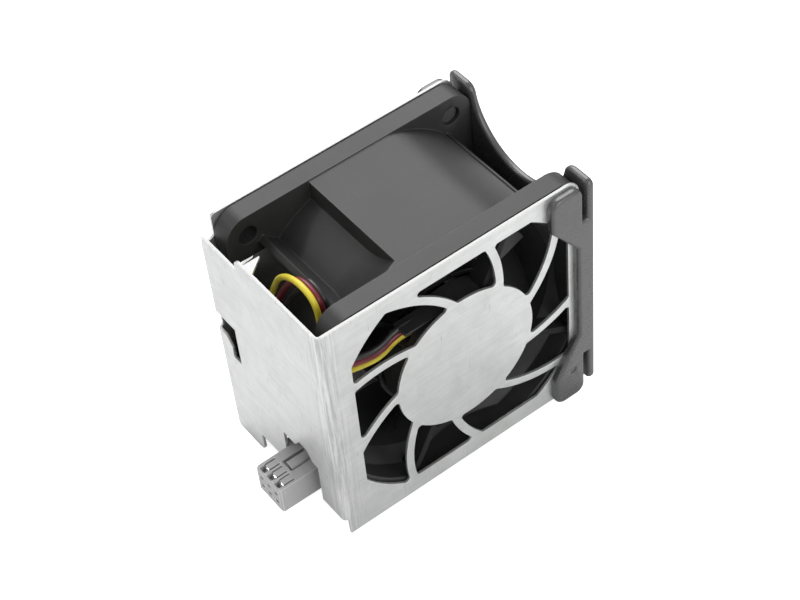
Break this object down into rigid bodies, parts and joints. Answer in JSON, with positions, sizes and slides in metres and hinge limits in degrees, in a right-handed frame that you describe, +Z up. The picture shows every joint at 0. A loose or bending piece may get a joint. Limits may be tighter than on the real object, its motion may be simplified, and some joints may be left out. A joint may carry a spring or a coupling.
{
  "type": "server cooling fan",
  "caption": "Hot-plug axial server fan in a U-shaped galvanised bracket with swirl grilles, a blind-mating connector and a moulded pull handle.",
  "frame": {"origin": "under the middle of the module's box, on the plane it stands on", "axes": "+X from the connector to the handle, +Y along the fan axis away from the viewed grille, +Z up"},
  "size_m": [0.0726, 0.0436, 0.0617],
  "materials": {
    "galvanised_steel": "spangled zinc, fine handling scratches",
    "handle_plastic": "fine moulded grain",
    "frame_plastic": "semi-matt glass-filled moulding",
    "impeller_plastic": "smooth moulding",
    "yoke_steel": "drawn cup",
    "magnet_ferrite": "bonded ferrite",
    "bearing_steel": "ground",
    "spring_steel": "stamped",
    "tube_brass": "turned",
    "core_steel": "laminated",
    "insulator_nylon": "moulded",
    "winding_copper": "enamelled wire",
    "board_laminate": "solder mask",
    "chip_epoxy": "moulded epoxy",
    "capacitor_body": "ceramic",
    "connector_plastic": "moulded",
    "terminal_tin": "tin plated",
    "lead_yellow": "insulation",
    "lead_red": "insulation",
    "lead_black": "insulation"
  },
  "bodies": {
    "module": {"bracket": "galvanised_steel", "handle": "handle_plastic", "fan_frame": "frame_plastic", "bearing_tube": "tube_brass", "bearing_outer_races": "bearing_steel", "bearing_balls": "bearing_steel", "stator_core": "core_steel", "stator_insulators": "insulator_nylon", "stator_windings": "winding_copper", "circuit_board": "board_laminate", "hall_sensor": "chip_epoxy", "driver_chip": "chip_epoxy", "board_capacitors": "capacitor_body", "connector_housing": "connector_plastic", "connector_terminals": "terminal_tin", "lead_yellow": "lead_yellow", "lead_red": "lead_red", "lead_black": "lead_black"},
    "rotor": {"impeller": "impeller_plastic", "rotor_yoke": "yoke_steel", "magnet_ring": "magnet_ferrite", "shaft": "bearing_steel", "retaining_clip": "spring_steel", "preload_washer": "spring_steel", "bearing_inner_races": "bearing_steel"}
  },
  "joints": [
    {"name": "rotor_spin", "type": "hinge", "parent": "module", "child": "rotor", "pos_m": [0.00447, 0, 0.0316], "axis": [0, 1, 0], "continuous": true}
  ]
}
